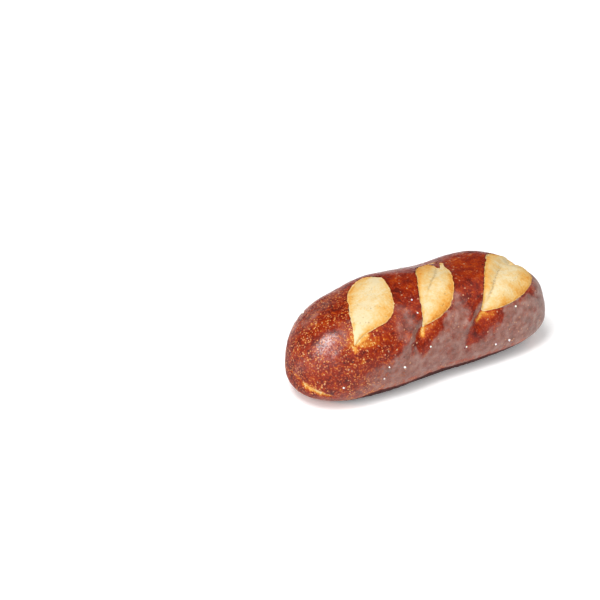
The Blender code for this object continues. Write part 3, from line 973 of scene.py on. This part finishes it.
def baked_colour(tree, marks):
    """The colour of crust and crumb, with painted shade in pores and folds, the painted reflection of the
    table over it and the painted glints of blisters.
    """
    share = blend(tree, marks.is_crumb, crust_baked(tree, marks), crumb_baked(tree, marks))
    colour = ramp(tree, share, BAKED)
    # Painted shade: the crumb's pores and the line in its crease are darkened as if shaded in their hollows
    fold = times(tree, marks.fold, ease(tree, marks.flecks, 0.35, 0.60, 0.3, 1.0))
    shade = sum_of(tree, times(tree, marks.pore, PORE_SHARE), times(tree, fold, FOLD_SHARE))
    colour = blend_colour(tree, times(tree, shade, marks.is_crumb), colour, HOLLOW_SHADE_COLOUR)
    # Painted reflection of the table: a paler, greyer veil laid over the crust where the cover says
    painted_reflection_colour = blend_colour(
        tree,
        ease(tree, marks.x, *FAR_END),
        ramp(tree, marks.drift, PAINTED_REFLECTION_COLOURS),
        ramp(tree, marks.drift, FAR_PAINTED_REFLECTION_COLOURS),
    )
    colour = blend_colour(tree, marks.dull, colour, painted_reflection_colour)
    # Painted glints: a pale pink on blisters and speckles stands in for the light they catch
    gleam = sum_of(
        tree, times(tree, marks.blister, marks.patchy), times(tree, marks.speckles, GLINT_ON_SPECKLE)
    )
    glint = times(
        tree, gleam, ease(tree, marks.is_crumb, 0.60, 0.0), ease(tree, marks.at_base, 1.0, 0.0)
    )
    return blend_colour(tree, glint, colour, GLINT_COLOUR)


def fine_relief(tree, marks):
    """Relief too fine for the mesh, in millimetres: grit and blisters on the crust, pores in the crumb."""
    grit = cloud(tree, marks.place, GRIT_SIZE, 2.0, 0.55)
    skin = sum_of(
        tree,
        times(tree, marks.speckle, 0.12),
        times(tree, marks.blister, 0.20),
        times(tree, marks.pock, -0.22),
        times(tree, marks.marble, 0.03),
        times(tree, grit, ease(tree, marks.dull, 0.0, 0.6, 0.09, 0.035)),
    )
    scorched = times(tree, cloud(tree, marks.place, SCORCHED_SIZE, 4.0, 0.7), 0.9)
    flesh = sum_of(
        tree,
        times(tree, marks.pore, -0.25),
        times(tree, marks.flecks, 0.20),
        times(tree, grit, 0.08),
        times(tree, marks.soft, 0.25),
    )
    return blend(tree, marks.is_crumb, blend(tree, marks.at_base, skin, scorched), flesh)


def bake(material):
    """Builds the one material that runs from pale crumb through gold and orange to the dark crust."""
    tree = material.node_tree
    shader = tree.nodes["Principled BSDF"]
    marks = find_marks(tree)
    tree.links.new(baked_colour(tree, marks), shader.inputs["Base Color"])

    gloss = times(
        tree,
        marks.sheen,
        ease(tree, marks.is_crumb, 1.0, 0.0),
        ease(tree, cloud(tree, marks.crooked, GLOSS_SIZE, 2.0, 0.6), 0.40, 0.60, 0.36, 1.30),
    )
    tree.links.new(gloss, shader.inputs["Coat Weight"])
    shader.inputs["Coat Roughness"].default_value = COAT_ROUGHNESS
    shader.inputs["Coat IOR"].default_value = COAT_IOR
    shader.inputs["Specular IOR Level"].default_value = CRUST_SPECULAR

    roughness = blend(
        tree, marks.is_crumb, ease(tree, marks.mottle, 0.2, 0.8, 0.26, 0.33), CRUMB_ROUGHNESS
    )
    roughness = sum_of(
        tree,
        blend(tree, marks.at_base, roughness, BASE_ROUGHNESS),
        times(tree, marks.dull, REFLECTION_ROUGHNESS),
        times(tree, gloss, SHEEN_ROUGHNESS),
        ease(tree, marks.x, *ROUND_TIP, 0.0, TIP_ROUGHNESS),
    )
    tree.links.new(roughness, shader.inputs["Roughness"])

    bump = {"Height": fine_relief(tree, marks), "Distance": 0.001, "Strength": 1.0}
    tree.links.new(add_node(tree, "ShaderNodeBump", bump).outputs["Normal"], shader.inputs["Normal"])


baked = bpy.data.materials.new("baked_dough")
baked.use_nodes = True
bake(baked)
dough.data.materials.append(baked)

# The salt
# Small coarse crystals, thrown on by hand before the oven. Each is a blunt, cloudy cube that has sunk
# a little into the crust.

SALT_ON_SIDE = (
    (-0.013, -0.013), (-0.014, -0.021), (-0.036, -0.043), (-0.027, -0.045), (-0.0385, -0.047),
    (-0.060, -0.047), (-0.011, -0.040), (0.0115, -0.0455), (0.030, -0.048), (0.039, -0.0485),
    (0.0435, -0.033),
)
SALT_SEED = 7
SALT_ELSEWHERE = 15
SALT_FROM_ROUND = 0.016
SALT_TO_ROUND = 0.049
SALT_SMALLEST = 0.0007
SALT_LARGEST = 0.0011
SALT_SUNK = 0.35
SALT_GAP = 0.009
SALT_OFF_SCORE = 0.003
SALT_BLUNT = 0.22
SALT_SPAN = 0.45
SALT_UNEVEN = (0.8, 1.1)
SALT_CLOUD_SIZE = 0.0005
SALT_COLOURS = ((0.25, (0.80, 0.76, 0.70)), (0.70, (0.93, 0.92, 0.90)))
SALT_ANGLE = math.radians(25)


def salt_places():
    """Unrolled places for the grains, apart from each other and clear of the scores."""
    draw = random.Random(SALT_SEED)
    places = [Vector(place) for place in SALT_ON_SIDE]
    while len(places) < len(SALT_ON_SIDE) + SALT_ELSEWHERE:
        along = draw.uniform(-SALT_SPAN, SALT_SPAN) * ROLL_LENGTH
        place = Vector((along, draw.uniform(SALT_FROM_ROUND, SALT_TO_ROUND)))
        clear = all(inside_leaf(score, *place) < -SALT_OFF_SCORE for score in SCORES)
        if clear and all((place - other).length > SALT_GAP for other in places):
            places.append(place)
    return places


draw = random.Random(SALT_SEED + 1)
crystals = []
for place in salt_places():
    size = draw.uniform(SALT_SMALLEST, SALT_LARGEST)
    bpy.ops.object.select_all(action="DESELECT")
    bpy.ops.mesh.primitive_cube_add(size=size)
    crystal = bpy.context.active_object
    for corner in crystal.data.vertices:
        corner.co *= draw.uniform(*SALT_UNEVEN)
    bpy.ops.object.mode_set(mode="EDIT")
    bpy.ops.mesh.bevel(offset=size * SALT_BLUNT, segments=2)
    bpy.ops.object.mode_set(mode="OBJECT")
    _, ground, normal, _ = dough.closest_point_on_mesh(Vector(plain_form(*place)))
    turn = Euler([draw.uniform(0, math.tau) for _ in range(3)]).to_matrix().to_4x4()
    centre = ground + normal * size * (0.5 - SALT_SUNK)
    crystal.data.transform(Matrix.Translation(centre) @ turn)
    crystals.append(crystal)
bpy.ops.object.select_all(action="DESELECT")
for crystal in crystals:
    crystal.select_set(True)
bpy.context.view_layer.objects.active = crystals[0]
bpy.ops.object.join()
salt = bpy.context.active_object
salt.name = "salt_grains"
salt.data.name = "salt_grains"
bpy.ops.object.shade_smooth_by_angle(angle=SALT_ANGLE)

salt_finish = bpy.data.materials.new("salt_crystal")
salt_finish.use_nodes = True
tree = salt_finish.node_tree
shader = tree.nodes["Principled BSDF"]
place = add_node(tree, "ShaderNodeTexCoord").outputs["Object"]
cloudy = cloud(tree, place, SALT_CLOUD_SIZE, 2.0, 0.6)
tree.links.new(ramp(tree, cloudy, SALT_COLOURS), shader.inputs["Base Color"])
tree.links.new(ease(tree, cloudy, 0.2, 0.8, 0.25, 0.5), shader.inputs["Roughness"])
pitted = {"Height": cloudy, "Distance": 0.0001, "Strength": 0.6}
tree.links.new(add_node(tree, "ShaderNodeBump", pitted).outputs["Normal"], shader.inputs["Normal"])
shader.inputs["Subsurface Weight"].default_value = 0.4
shader.inputs["Subsurface Scale"].default_value = 0.0008
salt.data.materials.append(salt_finish)

# Dough and salt settle together into the frame, over the middle of the solid that they stand for
low = np.minimum(corners(dough).min(axis=0), corners(salt).min(axis=0))
high = np.maximum(corners(dough).max(axis=0), corners(salt).max(axis=0))
cad_low, cad_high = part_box("roll")
shift = (cad_low + cad_high) / 2 - Vector((low + high) / 2)
for piece in (dough, salt):
    piece.data.transform(Matrix.Translation((shift.x, shift.y, 0.0)))
    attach(piece, "root")
    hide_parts("roll")

# The table
# A wide, smooth, pale sheet, faintly lit from below, that runs out of the picture on every side.

TABLE_SIZE = 6.0
TABLE_COLOUR = (0.92, 0.92, 0.92, 1.0)
TABLE_GLOW = 0.20
TABLE_ROUGHNESS = 0.9

bpy.ops.object.select_all(action="DESELECT")
bpy.ops.mesh.primitive_plane_add(size=TABLE_SIZE)
table = bpy.context.active_object
table.name = "table"
paper = bpy.data.materials.new("table_paper")
paper.use_nodes = True
shader = paper.node_tree.nodes["Principled BSDF"]
shader.inputs["Base Color"].default_value = TABLE_COLOUR
shader.inputs["Roughness"].default_value = TABLE_ROUGHNESS
shader.inputs["Emission Color"].default_value = TABLE_COLOUR
shader.inputs["Emission Strength"].default_value = TABLE_GLOW
table.data.materials.append(paper)

# The light
# A small soft box at the left, a brighter one high above it, two wide weak ones in front and at the
# right, and a dim room. All stand far enough off to light the whole table evenly.

SoftBox = namedtuple("SoftBox", "name azimuth elevation distance size radiance")
SOFT_BOXES = (
    SoftBox("key", -107.0, 38.0, 2.8, 1.20, 7.0),
    SoftBox("front", -160.0, 40.0, 2.7, 3.3, 0.86),
    SoftBox("top", -105.0, 68.0, 3.0, 1.20, 13.6),
    SoftBox("right", 115.0, 50.0, 2.7, 2.4, 0.95),
)
ROOM_LIGHT = 0.10

for box in SOFT_BOXES:
    azimuth, elevation = math.radians(box.azimuth), math.radians(box.elevation)
    towards = Vector((
        math.sin(azimuth) * math.cos(elevation),
        math.cos(azimuth) * math.cos(elevation),
        math.sin(elevation),
    ))
    lamp = bpy.data.lights.new(box.name, "AREA")
    lamp.shape = "SQUARE"
    lamp.size = box.size
    lamp.energy = box.radiance * math.pi * box.size**2
    lamp_object = bpy.data.objects.new(box.name, lamp)
    lamp_object.location = towards * box.distance
    lamp_object.rotation_euler = towards.to_track_quat("Z", "Y").to_euler()
    bpy.context.scene.collection.objects.link(lamp_object)

world = bpy.data.worlds.new("room")
world.use_nodes = True
background = world.node_tree.nodes["Background"]
background.inputs["Color"].default_value = (1.0, 1.0, 1.0, 1.0)
background.inputs["Strength"].default_value = ROOM_LIGHT
bpy.context.scene.world = world
bpy.context.scene.view_settings.view_transform = "Standard"

# The camera
# It stands to the left of the rounder end and looks down on the roll, which lies right of the middle.

CAMERA_AZIMUTH = -37.33
CAMERA_ELEVATION = 30.0
CAMERA_DISTANCE = 0.75
FRAME_PIXELS = 600
FOCAL_PIXELS = 1441.8
ROLL_MIDDLE_PIXEL = (412.26, 316.95)
SENSOR_WIDTH = 36.0

azimuth, elevation = math.radians(CAMERA_AZIMUTH), math.radians(CAMERA_ELEVATION)
back = Vector((
    math.sin(azimuth) * math.cos(elevation),
    -math.cos(azimuth) * math.cos(elevation),
    math.sin(elevation),
))
aside = ROLL_MIDDLE_PIXEL[0] - FRAME_PIXELS / 2
rise = FRAME_PIXELS / 2 - ROLL_MIDDLE_PIXEL[1]
ray = Vector((aside, rise, FOCAL_PIXELS)).normalized()
pitch = math.asin(-back.z / math.hypot(ray.y, ray.z)) - math.atan2(ray.y, ray.z)
ahead = ray.z * math.cos(pitch) - ray.y * math.sin(pitch)
turn = math.atan2(-back.y, -back.x) - math.atan2(ahead, ray.x)
camera = bpy.data.cameras.new("camera")
camera.sensor_width = SENSOR_WIDTH
camera.lens = FOCAL_PIXELS / FRAME_PIXELS * SENSOR_WIDTH
camera_object = bpy.data.objects.new("camera", camera)
camera_object.location = Vector((0.0, 0.0, ROLL_HEIGHT / 2)) + CAMERA_DISTANCE * back
camera_object.rotation_euler = (pitch + math.pi / 2, 0.0, turn)
bpy.context.scene.collection.objects.link(camera_object)
bpy.context.scene.camera = camera_object
